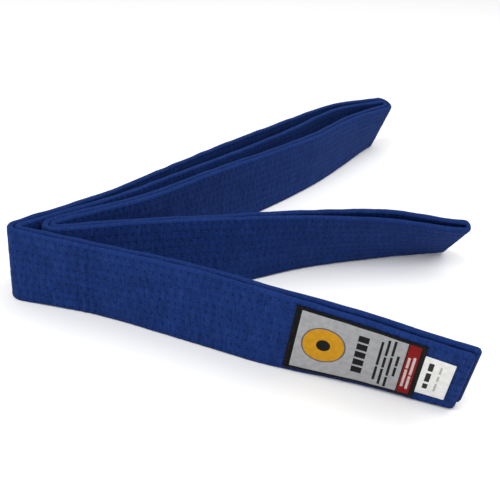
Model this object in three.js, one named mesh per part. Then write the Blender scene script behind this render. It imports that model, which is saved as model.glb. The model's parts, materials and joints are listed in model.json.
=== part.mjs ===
// A cotton martial arts belt, doubled and folded into three arms that stand on edge.
// Units are millimetres and +Z is up. The belt rests on the plane z = 0.
//
// The belt is one stitched strip: a cover cloth wrapped round two core plies. It is doubled, so
// each fold holds an outer and an inner strand, and the doubled belt is folded in a zigzag:
//   front arm  (both free ends, with the woven label)
//   left fold  (front arm to back arm)
//   back arm   (two doubled runs joined by the back tip)
//   nest fold  (back arm to middle arm, lying inside the mouth of the left fold)
//   middle arm (ends at the middle of the belt, the middle tip)
// The strip is split at the left fold and at the nest fold, where the arms hinge.

import * as THREE from 'three';

// ---------- the strip ----------
const BELT_LENGTH = 2400;
const BELT_WIDTH = 42;
const BELT_THICKNESS = 3.4;
const COVER_CLOTH = 0.5;
const CORE_GAP = 0.3;
const SEAM_GAP = 1;
const STRAND_PITCH = 3.8;

// ---------- the folded belt, seen from above ----------
// Each arm has a heading from the X axis, a length, and a few values at equal steps along it.
// Drift and the pairs' places are sideways, lean is in degrees, pitch is between two strands.
// Rake is how far the top edge runs ahead at the arm's end, as a share of the height.
// The front arm's length is what the belt's length leaves.
const FRONT_HEADING = -12;
const FRONT_DRIFT = [0, 0, -2.5, -8, -11.5, -17];
const FRONT_LEAN = [0, -5, 0, -2, -12, -19];
const FRONT_PITCH = [3.8, 3.8, 4.2, 4.4, 4.4, 4];
const FRONT_RAKE = 0.03;
const PLAIN_END_EXTRA = 2.5;

const BACK_HEADING = 53;
const BACK_LENGTH = 353.6;
const BACK_REAR_PAIR = [0.2, 3.2, 6.2, 8.7, 12.5];
const BACK_REAR_PITCH = [7, 11.2, 14.5, 12.2, 8];
const BACK_FRONT_PAIR = [-14.5, -14.5, -16, -15, -8.5];
const BACK_LEAN = [0, 0, 0, 0, -3, -5, -19];
const BACK_RAKE = 0;
const BACK_TIP_ACROSS = 0;

const MIDDLE_HEADING = 19;
const MIDDLE_LENGTH = 238;
const MIDDLE_DRIFT = [0, 0, 0.5, 5.5, 6.2, 1.8];
const MIDDLE_LEAN = [0, 4, 0, -17, -29, -43];
const MIDDLE_PITCH = [3.8, 3.8, 4, 4.8, 6.4, 5];
const MIDDLE_RAKE = -0.125;

// ---------- the folds ----------
// A fold radius is taken to the middle of its two strands.
const LEFT_FOLD_RADIUS = 4.2;
const NEST_FOLD_RADIUS = 4.4;
const NEST_CLEARANCE = 2;
const BACK_TIP_RADIUS = 4.7;
const HINGE_CLEARANCE = 0.3;
const CLOSING_ROOM = 12;
const ARC_STEP = 18;
const STRAIGHT_STEP = 15;

// ---------- label, tag and thread on the front arm ----------
const LABEL_START = 146.3;
const LABEL_LENGTH = 61.5;
const LABEL_LOW = -18.5;
const LABEL_HIGH = 19.2;
const LABEL_THICKNESS = 0.5;
const TRIM_GAP = 0.45;
const TAG_LENGTH = 13.2;
const TAG_LOW = -14;
const TAG_HIGH = 13;
const TAG_THICKNESS = 0.3;
const THREAD = 0.6;
const LABEL_THREAD_INSET = 1.5;
const END_THREAD_INSET = 5;
const END_THREAD_LENGTH = 14;

const HALF_WIDTH = BELT_WIDTH / 2;
const HALF_THICKNESS = BELT_THICKNESS / 2;
const HALF_PITCH = STRAND_PITCH / 2;
const radians = THREE.MathUtils.degToRad;

const COTTON = { color: 0x233f86, roughness: 0.9, metalness: 0 };
const CORE_COTTON = { color: 0xd8d2c2, roughness: 0.95, metalness: 0 };
const BLUE_THREAD = { color: 0x2d4c98, roughness: 0.7, metalness: 0 };
const BLACK_THREAD = { color: 0x1b1c20, roughness: 0.7, metalness: 0 };
const LABEL_WEAVE = { color: 0xb9bdc4, roughness: 0.55, metalness: 0 };
const TAG_TAPE = { color: 0xe9e9e6, roughness: 0.7, metalness: 0 };

// A smooth value along an arm, through control values at equal steps; t runs from 0 to 1.
function smoothThrough(values) {
  const curve = new THREE.SplineCurve(values.map((value, i) => new THREE.Vector2(i, value)));
  return (t) => curve.getPoint(THREE.MathUtils.clamp(t, 0, 1)).y;
}

// An arm's own frame: along its heading, across to the left, up the belt's width. The arm leans
// sideways about its spine as it goes, and is lifted so that its lowest edge, which is reachAt(t)
// from the spine, stays on the ground. Its rake grows from nothing at the fold.
function makeArm(origin, heading, length, leanValues, rake, spineAt, reachAt) {
  const along = new THREE.Vector2(Math.cos(radians(heading)), Math.sin(radians(heading)));
  const left = new THREE.Vector2(-along.y, along.x);
  const leanAt = smoothThrough(leanValues);
  function place(a, b, v) {
    const lean = radians(leanAt(a / length));
    const sin = Math.sin(lean);
    const cos = Math.cos(lean);
    const spine = spineAt(a / length);
    const sideways = spine + (b - spine) * cos + v * sin;
    const forward = a + rake * v * Math.max(a / length, 0);
    const x = origin.x + along.x * forward + left.x * sideways;
    const y = origin.y + along.y * forward + left.y * sideways;
    const lift = HALF_WIDTH * cos + reachAt(a / length) * Math.abs(sin);
    return new THREE.Vector3(x, y, lift - (b - spine) * sin + v * cos);
  }
  return { place };
}

// ---------- stations: the path of one strand in its arm's frame ----------

function arcStations(a, b, radius, fromDegrees, toDegrees) {
  const turn = toDegrees - fromDegrees;
  const steps = Math.max(2, Math.ceil(Math.abs(turn) / ARC_STEP));
  const sense = Math.sign(turn);
  const stations = [];
  for (let i = 0; i <= steps; i += 1) {
    const angle = radians(fromDegrees + (turn * i) / steps);
    stations.push({
      a: a + radius * Math.cos(angle),
      b: b + radius * Math.sin(angle),
      normalA: -sense * Math.cos(angle),
      normalB: -sense * Math.sin(angle),
    });
  }
  return stations;
}

// A nearly straight run from a = from to a = to, following acrossAt(a).
function straightStations(from, to, acrossAt) {
  const sense = Math.sign(to - from);
  const steps = Math.ceil(Math.abs(to - from) / STRAIGHT_STEP);
  const probe = 0.5;
  const stations = [];
  for (let i = 0; i <= steps; i += 1) {
    const a = from + ((to - from) * i) / steps;
    const slope = (acrossAt(a + probe) - acrossAt(a - probe)) / (2 * probe);
    const size = Math.hypot(1, slope);
    stations.push({ a, b: acrossAt(a), normalA: (-sense * slope) / size, normalB: sense / size });
  }
  return stations;
}

// Join runs of stations, leaving out each repeated first station.
function joinStations(...runs) {
  return runs.flatMap((run, i) => (i === 0 ? run : run.slice(1)));
}

// The share of a fold that an arm keeps: it stays on its own side of a plane through the hinge,
// square to the arm, so that the fold can open until the arms are in line. It stops short of the
// fold's middle by a few degrees, so that the fold can also close a little.
function foldShare(turn, foldRadius, strandRadius) {
  const room = foldRadius * Math.sin(radians(turn / 2)) - HINGE_CLEARANCE;
  const limit = Math.asin(Math.min(1, room / (strandRadius + HALF_THICKNESS)));
  return Math.min(THREE.MathUtils.radToDeg(limit), turn / 2 - CLOSING_ROOM);
}

function pathLength(stations) {
  let total = 0;
  for (let i = 1; i < stations.length; i += 1) {
    total += Math.hypot(stations[i].a - stations[i - 1].a, stations[i].b - stations[i - 1].b);
  }
  return total;
}

// ---------- solids ----------

// Sweep a closed outline of (m, v) points along stations: m is the offset to the left of the
// path, v is the height up the width. Both ends are capped.
function sweepOutline(arm, stations, outline) {
  const count = outline.length;
  const positions = [];
  const triangles = [];
  stations.forEach((s) => {
    outline.forEach(([m, v]) => {
      const p = arm.place(s.a + m * s.normalA, s.b + m * s.normalB, v);
      positions.push(p.x, p.y, p.z);
    });
  });
  for (let k = 0; k + 1 < stations.length; k += 1) {
    for (let i = 0; i < count; i += 1) {
      const j = (i + 1) % count;
      const here = [k * count + i, k * count + j];
      const next = [(k + 1) * count + i, (k + 1) * count + j];
      // The diagonal always rises along the path, so that nested solids have matching facets.
      if (outline[j][1] > outline[i][1]) {
        triangles.push(here[0], here[1], next[1], here[0], next[1], next[0]);
      } else {
        triangles.push(here[0], here[1], next[0], here[1], next[1], next[0]);
      }
    }
  }
  const contour = outline.map(([m, v]) => new THREE.Vector2(m, v));
  const last = (stations.length - 1) * count;
  THREE.ShapeUtils.triangulateShape(contour, []).forEach(([i, j, k]) => {
    triangles.push(i, k, j);
    triangles.push(last + i, last + j, last + k);
  });
  const geometry = new THREE.BufferGeometry();
  geometry.setAttribute('position', new THREE.Float32BufferAttribute(positions, 3));
  geometry.setIndex(triangles);
  return facingOut(geometry);
}

// Turn a closed geometry's faces outward if its signed volume is negative.
function facingOut(geometry) {
  const position = geometry.getAttribute('position');
  const index = Array.from(geometry.getIndex().array);
  const [p, q, r] = [new THREE.Vector3(), new THREE.Vector3(), new THREE.Vector3()];
  let volume = 0;
  for (let i = 0; i < index.length; i += 3) {
    p.fromBufferAttribute(position, index[i]);
    q.fromBufferAttribute(position, index[i + 1]);
    r.fromBufferAttribute(position, index[i + 2]);
    volume += p.dot(q.cross(r));
  }
  if (volume < 0) {
    for (let i = 0; i < index.length; i += 3) {
      [index[i + 1], index[i + 2]] = [index[i + 2], index[i + 1]];
    }
    geometry.setIndex(index);
  }
  geometry.computeVertexNormals();
  return geometry;
}

// Every outline has a point at the middle of the width, v = 0, again so that facets match.
function box(mLow, mHigh, vLow, vHigh) {
  return [
    [mLow, vLow],
    [mHigh, vLow],
    [mHigh, 0],
    [mHigh, vHigh],
    [mLow, vHigh],
    [mLow, 0],
  ];
}

// The cover cloth: a flat tube whose two long edges meet at a seam on the inner face.
function coverOutline() {
  const t = HALF_THICKNESS;
  const w = HALF_WIDTH;
  const c = COVER_CLOTH;
  const seam = SEAM_GAP / 2;
  return [
    [-t, -seam],
    [-t, -w],
    [t, -w],
    [t, 0],
    [t, w],
    [-t, w],
    [-t, seam],
    [-t + c, seam],
    [-t + c, w - c],
    [t - c, w - c],
    [t - c, 0],
    [t - c, -w + c],
    [-t + c, -w + c],
    [-t + c, -seam],
  ];
}

// Two core plies side by side inside the cover, with a gap all round each of them.
function plyOutline(side) {
  const room = HALF_THICKNESS - COVER_CLOTH - CORE_GAP;
  const height = HALF_WIDTH - COVER_CLOTH - CORE_GAP;
  const inner = CORE_GAP / 2;
  return side > 0 ? box(inner, room, -height, height) : box(-room, -inner, -height, height);
}

// A thread sewn round a rectangle on a strand's face, as one closed square-section loop.
function threadLoop(facePoint, from, to, low, high) {
  const half = THREAD / 2;
  const steps = Math.max(1, Math.round((to - from) / (STRAIGHT_STEP / 2)));
  const loop = [];
  for (let i = 0; i <= steps; i += 1) {
    loop.push([from + ((to - from) * i) / steps, low, i === 0 ? -1 : Number(i === steps), -1]);
  }
  for (let i = steps; i >= 0; i -= 1) {
    loop.push([from + ((to - from) * i) / steps, high, i === 0 ? -1 : Number(i === steps), 1]);
  }
  const positions = [];
  const triangles = [];
  loop.forEach(([a, v, outA, outV]) => {
    [[-half, 0], [half, 0], [half, THREAD], [-half, THREAD]].forEach(([out, lift]) => {
      const p = facePoint(a + out * outA, v + out * outV, lift);
      positions.push(p.x, p.y, p.z);
    });
  });
  loop.forEach((_, k) => {
    const next = (k + 1) % loop.length;
    for (let i = 0; i < 4; i += 1) {
      const j = (i + 1) % 4;
      triangles.push(k * 4 + i, k * 4 + j, next * 4 + j, k * 4 + i, next * 4 + j, next * 4 + i);
    }
  });
  const geometry = new THREE.BufferGeometry();
  geometry.setAttribute('position', new THREE.Float32BufferAttribute(positions, 3));
  geometry.setIndex(triangles);
  return facingOut(geometry);
}

// ---------- the three arms ----------

const leftFoldCentre = new THREE.Vector2(0, 0);
const leftFoldTurn = 180 - (BACK_HEADING - FRONT_HEADING);
const nestFoldTurn = 180 - (BACK_HEADING - MIDDLE_HEADING);

// The nest fold lies in the mouth of the left fold, clear of the inner strand on both sides.
function nestFoldCentreAt() {
  const mouth = LEFT_FOLD_RADIUS - HALF_PITCH - HALF_THICKNESS;
  const room = NEST_FOLD_RADIUS + HALF_PITCH + HALF_THICKNESS + NEST_CLEARANCE - mouth;
  const halfAngle = radians((BACK_HEADING - FRONT_HEADING) / 2);
  const middle = radians((BACK_HEADING + FRONT_HEADING) / 2);
  const distance = room / Math.sin(halfAngle);
  return new THREE.Vector2(distance * Math.cos(middle), distance * Math.sin(middle));
}

const nestFoldCentre = nestFoldCentreAt();

// The nest fold's centre in the back arm's frame.
const backAlong = new THREE.Vector2(1, 0).rotateAround(leftFoldCentre, radians(BACK_HEADING));
const nestAlong = nestFoldCentre.dot(backAlong);
const nestAcross = backAlong.cross(nestFoldCentre);

const middleDriftAt = smoothThrough(MIDDLE_DRIFT);
const middlePitchAt = smoothThrough(MIDDLE_PITCH);
const middleSpineAt = (t) => middleDriftAt(t) - NEST_FOLD_RADIUS;
const rearPairAt = smoothThrough([
  LEFT_FOLD_RADIUS,
  ...BACK_REAR_PAIR,
  BACK_TIP_ACROSS + BACK_TIP_RADIUS,
]);
const rearPitchAt = smoothThrough([STRAND_PITCH, ...BACK_REAR_PITCH, STRAND_PITCH]);
const frontPairAt = smoothThrough([
  nestAcross + NEST_FOLD_RADIUS,
  ...BACK_FRONT_PAIR,
  BACK_TIP_ACROSS - BACK_TIP_RADIUS,
]);
const backArm = makeArm(
  leftFoldCentre,
  BACK_HEADING,
  BACK_LENGTH,
  BACK_LEAN,
  BACK_RAKE,
  (t) => (rearPairAt(t) + frontPairAt(t)) / 2,
  (t) => (rearPairAt(t) - frontPairAt(t)) / 2 + HALF_PITCH + HALF_THICKNESS,
);

// The back arm's rear and front runs, from the left fold and from the nest fold to its tip.
function rearAcross(side) {
  return (a) => {
    const t = a / BACK_LENGTH;
    return rearPairAt(t) + (side * rearPitchAt(t)) / 2;
  };
}

function frontRunAcross(side) {
  return (a) => frontPairAt((a - nestAlong) / (BACK_LENGTH - nestAlong)) - side * HALF_PITCH;
}

function middleAcross(side) {
  return (a) => {
    const t = a / MIDDLE_LENGTH;
    return middleSpineAt(t) + (side * middlePitchAt(t)) / 2;
  };
}

// What the belt's length leaves for the front arm, once the other runs and all folds are made.
function frontLengthLeft() {
  const backRuns =
    pathLength(straightStations(0, BACK_LENGTH, rearAcross(0))) +
    pathLength(straightStations(nestAlong, BACK_LENGTH, frontRunAcross(0)));
  const middleRun = pathLength(straightStations(0, MIDDLE_LENGTH, middleAcross(0)));
  const folds =
    radians(leftFoldTurn) * LEFT_FOLD_RADIUS +
    radians(nestFoldTurn) * NEST_FOLD_RADIUS +
    Math.PI * BACK_TIP_RADIUS;
  const middleTip = (Math.PI * middlePitchAt(1)) / 2;
  const oneHalf = (BELT_LENGTH - PLAIN_END_EXTRA - middleTip) / 2;
  return oneHalf - backRuns - middleRun - folds;
}

const frontLength = frontLengthLeft();
const frontDriftAt = smoothThrough(FRONT_DRIFT);
const frontPitchAt = smoothThrough(FRONT_PITCH);
const frontSpineAt = (t) => frontDriftAt(t) - LEFT_FOLD_RADIUS;
const trimReach = TRIM_GAP + LABEL_THICKNESS;
const frontArm = makeArm(
  leftFoldCentre,
  FRONT_HEADING,
  frontLength,
  FRONT_LEAN,
  FRONT_RAKE,
  frontSpineAt,
  (t) => frontPitchAt(t) / 2 + HALF_THICKNESS + trimReach,
);
const middleArm = makeArm(
  nestFoldCentre,
  MIDDLE_HEADING,
  MIDDLE_LENGTH,
  MIDDLE_LEAN,
  MIDDLE_RAKE,
  middleSpineAt,
  (t) => middlePitchAt(t) / 2 + HALF_THICKNESS,
);

// side is -1 for the outer strand, in front, and 1 for the inner strand behind it.
function frontAcross(side) {
  return (a) => {
    const t = a / frontLength;
    return frontSpineAt(t) + (side * frontPitchAt(t)) / 2;
  };
}

// The labelled strand runs from its free end to the left fold.
function frontLabelStrand() {
  const radius = LEFT_FOLD_RADIUS + HALF_PITCH;
  const share = foldShare(leftFoldTurn, LEFT_FOLD_RADIUS, radius);
  const run = straightStations(frontLength, 0, frontAcross(-1));
  return joinStations(run, arcStations(0, 0, radius, -90, -90 - share));
}

// The plain strand runs from the left fold to its free end, a little past the labelled one.
function frontPlainStrand() {
  const radius = LEFT_FOLD_RADIUS - HALF_PITCH;
  const share = foldShare(leftFoldTurn, LEFT_FOLD_RADIUS, radius);
  const run = straightStations(0, frontLength + PLAIN_END_EXTRA, frontAcross(1));
  return joinStations(arcStations(0, 0, radius, -90 - share, -90), run);
}

// A back arm strand, from the left fold round the back tip to the nest fold. side is 1 for the
// strand that is outside at the left fold and the back tip, and -1 for the other.
function backStrand(side) {
  const leftRadius = LEFT_FOLD_RADIUS + side * HALF_PITCH;
  const nestRadius = NEST_FOLD_RADIUS - side * HALF_PITCH;
  const tipRadius = BACK_TIP_RADIUS + side * HALF_PITCH;
  const leftShare = foldShare(leftFoldTurn, LEFT_FOLD_RADIUS, leftRadius);
  const nestShare = foldShare(nestFoldTurn, NEST_FOLD_RADIUS, nestRadius);
  return joinStations(
    arcStations(0, 0, leftRadius, 90 + leftShare, 90),
    straightStations(0, BACK_LENGTH, rearAcross(side)),
    arcStations(BACK_LENGTH, BACK_TIP_ACROSS, tipRadius, 90, -90),
    straightStations(BACK_LENGTH, nestAlong, frontRunAcross(side)),
    arcStations(nestAlong, nestAcross, nestRadius, 90, 90 + nestShare),
  );
}

// The middle arm is one strand: from the nest fold along the rear, round the middle tip and
// back along the front to the nest fold again.
function middleStrand() {
  const innerRadius = NEST_FOLD_RADIUS - HALF_PITCH;
  const outerRadius = NEST_FOLD_RADIUS + HALF_PITCH;
  const innerShare = foldShare(nestFoldTurn, NEST_FOLD_RADIUS, innerRadius);
  const outerShare = foldShare(nestFoldTurn, NEST_FOLD_RADIUS, outerRadius);
  const tipRadius = middlePitchAt(1) / 2;
  return joinStations(
    arcStations(0, 0, innerRadius, -90 - innerShare, -90),
    straightStations(0, MIDDLE_LENGTH, middleAcross(1)),
    arcStations(MIDDLE_LENGTH, middleSpineAt(1), tipRadius, 90, -90),
    straightStations(MIDDLE_LENGTH, 0, middleAcross(-1)),
    arcStations(0, 0, outerRadius, -90, -90 - outerShare),
  );
}

// ---------- meshes ----------

const belt = new THREE.Group();

function addMesh(name, geometry, finish) {
  const mesh = new THREE.Mesh(geometry, new THREE.MeshStandardMaterial(finish));
  mesh.name = name;
  belt.add(mesh);
}

// One strand is a cover with two core plies.
function addStrand(name, arm, stations) {
  addMesh(`${name}_cover`, sweepOutline(arm, stations, coverOutline()), COTTON);
  addMesh(`${name}_core_ply_outer`, sweepOutline(arm, stations, plyOutline(1)), CORE_COTTON);
  addMesh(`${name}_core_ply_inner`, sweepOutline(arm, stations, plyOutline(-1)), CORE_COTTON);
}

// A thin plate that lies on the front face of the labelled strand.
function facePlate(from, to, low, high, standOff, thickness) {
  const across = frontAcross(-1);
  const stations = straightStations(from, to, across);
  const near = -HALF_THICKNESS - standOff;
  return sweepOutline(frontArm, stations, box(near - thickness, near, low, high));
}

// A point on a front arm strand's face; side is -1 for the labelled face, 1 for the plain one.
function frontFacePoint(side, standOff) {
  const across = frontAcross(side);
  return (a, v, lift) => {
    const out = HALF_THICKNESS + standOff + lift;
    return frontArm.place(a, across(a) + side * out, v);
  };
}

function addLabelAndTag() {
  const labelEnd = LABEL_START + LABEL_LENGTH;
  const tagStart = labelEnd + CORE_GAP;
  const tagEnd = tagStart + TAG_LENGTH;
  const label = facePlate(LABEL_START, labelEnd, LABEL_LOW, LABEL_HIGH, TRIM_GAP, LABEL_THICKNESS);
  const tag = facePlate(tagStart, tagEnd, TAG_LOW, TAG_HIGH, TRIM_GAP, TAG_THICKNESS);
  const onLabel = frontFacePoint(-1, TRIM_GAP + LABEL_THICKNESS + CORE_GAP);
  const inset = LABEL_THREAD_INSET;
  const labelThread = threadLoop(
    onLabel,
    LABEL_START + inset,
    labelEnd - inset,
    LABEL_LOW + inset,
    LABEL_HIGH - inset,
  );
  addMesh('woven_label', label, LABEL_WEAVE);
  addMesh('size_tag', tag, TAG_TAPE);
  addMesh('label_thread', labelThread, BLACK_THREAD);
}

function addEndThreads() {
  const rowEnd = HALF_WIDTH - END_THREAD_INSET;
  const labelledEnd = frontLength - END_THREAD_INSET / 2;
  const plainEnd = frontLength + PLAIN_END_EXTRA - END_THREAD_INSET / 2;
  [
    ['label_end_thread', -1, labelledEnd, END_THREAD_INSET / 2 - THREAD],
    ['plain_end_thread', 1, plainEnd, END_THREAD_LENGTH],
  ].forEach(([name, side, end, length]) => {
    const face = frontFacePoint(side, TRIM_GAP);
    addMesh(name, threadLoop(face, end - length, end, -rowEnd, rowEnd), BLUE_THREAD);
  });
}

const strands = [
  ['front_label_strand', frontArm, frontLabelStrand()],
  ['front_plain_strand', frontArm, frontPlainStrand()],
  ['back_outer_strand', backArm, backStrand(1)],
  ['back_inner_strand', backArm, backStrand(-1)],
  ['middle_strand', middleArm, middleStrand()],
];
strands.forEach(([name, arm, stations]) => addStrand(name, arm, stations));
addLabelAndTag();
addEndThreads();

// The origin is the middle of the belt's footprint, on the ground.
const extent = new THREE.Box3().setFromObject(belt);
const centre = extent.getCenter(new THREE.Vector3());
belt.position.set(-centre.x, -centre.y, -extent.min.z);

export default belt;
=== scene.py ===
"""A blue cotton martial arts belt, doubled and folded into three arms that stand on edge.

The quilted strip is built along the same folded path as the CAD solids, with its stitched rows,
puckers and threads as geometry. Lengths are in millimetres until place() turns them into metres.
"""

import json
import math

import bmesh
import bpy
import numpy as np
from mathutils import Matrix, Vector


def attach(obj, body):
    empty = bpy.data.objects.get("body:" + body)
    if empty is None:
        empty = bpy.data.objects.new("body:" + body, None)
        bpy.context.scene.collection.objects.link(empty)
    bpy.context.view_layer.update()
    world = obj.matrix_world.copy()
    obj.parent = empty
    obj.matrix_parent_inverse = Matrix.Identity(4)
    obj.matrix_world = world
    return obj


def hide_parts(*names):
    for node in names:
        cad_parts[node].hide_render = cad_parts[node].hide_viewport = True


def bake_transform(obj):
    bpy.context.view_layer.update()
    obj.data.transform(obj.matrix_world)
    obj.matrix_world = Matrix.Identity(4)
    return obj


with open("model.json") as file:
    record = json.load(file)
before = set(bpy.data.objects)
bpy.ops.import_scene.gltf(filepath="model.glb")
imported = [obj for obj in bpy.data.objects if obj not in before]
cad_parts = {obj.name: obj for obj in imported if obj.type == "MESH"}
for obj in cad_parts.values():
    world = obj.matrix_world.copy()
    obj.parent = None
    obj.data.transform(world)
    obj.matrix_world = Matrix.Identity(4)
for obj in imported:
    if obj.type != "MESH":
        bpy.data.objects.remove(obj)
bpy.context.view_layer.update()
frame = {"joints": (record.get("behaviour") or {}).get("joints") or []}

MM = 0.001

# ---------- the strip and its folds, as in the CAD solids ----------
BELT_LENGTH = 2400
BELT_WIDTH = 42
BELT_THICKNESS = 3.4
STRAND_PITCH = 3.8

FRONT_HEADING = -12
FRONT_DRIFT = [0, 0, -2.5, -8, -11.5, -17]
FRONT_LEAN = [0, -5, 0, -2, -12, -19]
FRONT_PITCH = [3.8, 3.8, 4.2, 4.4, 4.4, 4]
FRONT_RAKE = 0.03
PLAIN_END_EXTRA = 2.5

BACK_HEADING = 53
BACK_LENGTH = 353.6
BACK_REAR_PAIR = [0.2, 3.2, 6.2, 8.7, 12.5]
BACK_REAR_PITCH = [7, 11.2, 14.5, 12.2, 8]
BACK_FRONT_PAIR = [-14.5, -14.5, -16, -15, -8.5]
BACK_LEAN = [0, 0, 0, 0, -3, -5, -19]
BACK_RAKE = 0
BACK_TIP_ACROSS = 0

MIDDLE_HEADING = 19
MIDDLE_LENGTH = 238
MIDDLE_DRIFT = [0, 0, 0.5, 5.5, 6.2, 1.8]
MIDDLE_LEAN = [0, 4, 0, -17, -29, -43]
MIDDLE_PITCH = [3.8, 3.8, 4, 4.8, 6.4, 5]
MIDDLE_RAKE = -0.125

LEFT_FOLD_RADIUS = 4.2
NEST_FOLD_RADIUS = 4.4
NEST_CLEARANCE = 2
BACK_TIP_RADIUS = 4.7

LABEL_START = 146.3
LABEL_LENGTH = 61.5
LABEL_LOW = -18.5
LABEL_HIGH = 19.2
TAG_LENGTH = 13.2
TAG_LOW = -14
TAG_HIGH = 13

HALF_WIDTH = BELT_WIDTH / 2
HALF_THICKNESS = BELT_THICKNESS / 2
HALF_PITCH = STRAND_PITCH / 2

LABEL_REACH = 0.95
LENGTH_SAMPLES = 2001

# ---------- stations along the strip: millimetres on its runs, degrees round its folds ----------
ALONG_STEP = 0.85
ARC_STEP = 6

# ---------- the stitched rows ----------
ROW_COUNT = 9
OUTER_ROW = 18.8
STITCH_LENGTH = 4.2
ROW_WANDER = 0.25
HOLE_WANDER = 0.5
GROOVE_DEPTH = 0.07
GROOVE_WIDTH = 0.5
HOLE_DEPTH = 0.4
HOLE_LENGTH = 0.5
# Painted shade in a row's groove, as a share of the painted shade in its needle holes.
GROOVE_SHADE = 0.1

# ---------- the cloth between the rows ----------
PUFF = 0.05
PUCKER_HEIGHT = 0.08
RIPPLE_HEIGHT = 0.07
RIPPLE_SLANT = 0.02
SLOW_RIPPLE_HEIGHT = 0.03

# ---------- the camera, in front of the left fold and above the ground; its angles in degrees ----------
CAMERA_FROM_FOLD = (117.3, -329.3)
CAMERA_HEIGHT = 217.7
CAMERA_TILT = 28.42
CAMERA_ROLL = 5.32
CAMERA_LENS = 52.46
CAMERA_SENSOR = 36
CAMERA_NEAR = 20

rows_at = np.linspace(-OUTER_ROW, OUTER_ROW, ROW_COUNT)
row_gap = rows_at[1] - rows_at[0]


# ---------- smooth values and noise ----------


def smooth_through(values):
    """A Catmull-Rom curve through values at equal steps, as a function of t from 0 to 1."""
    points = np.asarray(values, float)
    last = len(points) - 1

    def value_at(t):
        place_on = np.clip(t, 0, 1) * last
        low = np.minimum(np.floor(place_on).astype(int), last - 1)
        u = place_on - low
        before = points[np.maximum(low - 1, 0)]
        here = points[low]
        after = points[low + 1]
        beyond = points[np.minimum(low + 2, last)]
        slope_here = (after - before) / 2
        slope_after = (beyond - here) / 2
        cubic = 2 * here - 2 * after + slope_here + slope_after
        square = -3 * here + 3 * after - 2 * slope_here - slope_after
        return ((cubic * u + square) * u + slope_here) * u + here

    return value_at


KNOT_COUNT = 4096
FIRST_KNOT = 64


def wander(seed, spacing):
    """Smooth noise of one variable in millimetres, from -1 to 1, with knots spacing apart."""
    knots = np.random.RandomState(seed).uniform(-1, 1, KNOT_COUNT)

    def value_at(x):
        place_on = np.asarray(x, float) / spacing + FIRST_KNOT
        low = np.floor(place_on).astype(int)
        u = place_on - low
        u = u * u * (3 - 2 * u)
        return knots[low % KNOT_COUNT] * (1 - u) + knots[(low + 1) % KNOT_COUNT] * u

    return value_at


# ---------- the three arms ----------


def unit(degrees):
    return np.array([math.cos(math.radians(degrees)), math.sin(math.radians(degrees))])


def left_of(direction):
    return np.array([-direction[1], direction[0]])


class Arm:
    """A straight-headed arm: along its heading, across to the left, and up the belt's width.

    It leans sideways about its spine, and is lifted so that its lowest edge, reach_at(t) from
    the spine, stays on the ground. Its rake, which grows from nothing at the fold, is how far
    the top edge runs ahead, as a share of the height.
    """

    def __init__(self, origin, heading, length, lean, rake, spine_at, reach_at):
        self.origin = np.asarray(origin, float)
        self.along = unit(heading)
        self.left = left_of(self.along)
        self.length = length
        self.lean_at = smooth_through(lean)
        self.rake = rake
        self.spine_at = spine_at
        self.reach_at = reach_at

    def place(self, a, b, v):
        """Points in the row frame, in metres, from places in the arm's frame in millimetres."""
        t = a / self.length
        lean = np.radians(self.lean_at(t))
        spine = self.spine_at(t)
        sideways = spine + (b - spine) * np.cos(lean) + v * np.sin(lean)
        lift = HALF_WIDTH * np.cos(lean) + self.reach_at(t) * np.abs(np.sin(lean))
        forward = a + self.rake * v * np.maximum(t, 0)
        x = self.origin[0] + self.along[0] * forward + self.left[0] * sideways
        y = self.origin[1] + self.along[1] * forward + self.left[1] * sideways
        z = lift - (b - spine) * np.sin(lean) + v * np.cos(lean)
        return np.stack([x, y, z], axis=-1) * MM


left_turn = 180 - (BACK_HEADING - FRONT_HEADING)
nest_turn = 180 - (BACK_HEADING - MIDDLE_HEADING)
joints = {joint["name"]: joint for joint in frame["joints"]}


def fold_middle(heading, radius, turn):
    """The middle of a fold's spine, seen from its centre, for the arm that leaves it at heading."""
    half = math.radians(turn / 2)
    return -radius * (unit(heading) * math.sin(half) + left_of(unit(heading)) * math.cos(half))


left_hinge = np.array(joints["front_arm_fold"]["pos_m"][:2]) / MM
left_centre = left_hinge - fold_middle(FRONT_HEADING, LEFT_FOLD_RADIUS, left_turn)


def nest_centre_at():
    """The nest fold lies in the mouth of the left fold, clear of the inner strand on both sides."""
    mouth = LEFT_FOLD_RADIUS - HALF_PITCH - HALF_THICKNESS
    room = NEST_FOLD_RADIUS + HALF_PITCH + HALF_THICKNESS + NEST_CLEARANCE - mouth
    distance = room / math.sin(math.radians((BACK_HEADING - FRONT_HEADING) / 2))
    return left_centre + distance * unit((BACK_HEADING + FRONT_HEADING) / 2)


nest_centre = nest_centre_at()
nest_along = float((nest_centre - left_centre) @ unit(BACK_HEADING))
nest_across = float((nest_centre - left_centre) @ left_of(unit(BACK_HEADING)))

front_drift_at = smooth_through(FRONT_DRIFT)
front_pitch_at = smooth_through(FRONT_PITCH)
middle_drift_at = smooth_through(MIDDLE_DRIFT)
middle_pitch_at = smooth_through(MIDDLE_PITCH)
rear_pair_at = smooth_through(
    [LEFT_FOLD_RADIUS, *BACK_REAR_PAIR, BACK_TIP_ACROSS + BACK_TIP_RADIUS]
)
rear_pitch_at = smooth_through([STRAND_PITCH, *BACK_REAR_PITCH, STRAND_PITCH])
front_pair_at = smooth_through(
    [nest_across + NEST_FOLD_RADIUS, *BACK_FRONT_PAIR, BACK_TIP_ACROSS - BACK_TIP_RADIUS]
)


def front_spine_at(t):
    return front_drift_at(t) - LEFT_FOLD_RADIUS


def middle_spine_at(t):
    return middle_drift_at(t) - NEST_FOLD_RADIUS


def rear_across(side):
    def across(a):
        t = a / BACK_LENGTH
        return rear_pair_at(t) + side * rear_pitch_at(t) / 2

    return across


def front_run_across(side):
    run = BACK_LENGTH - nest_along
    return lambda a: front_pair_at((a - nest_along) / run) - side * HALF_PITCH


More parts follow.
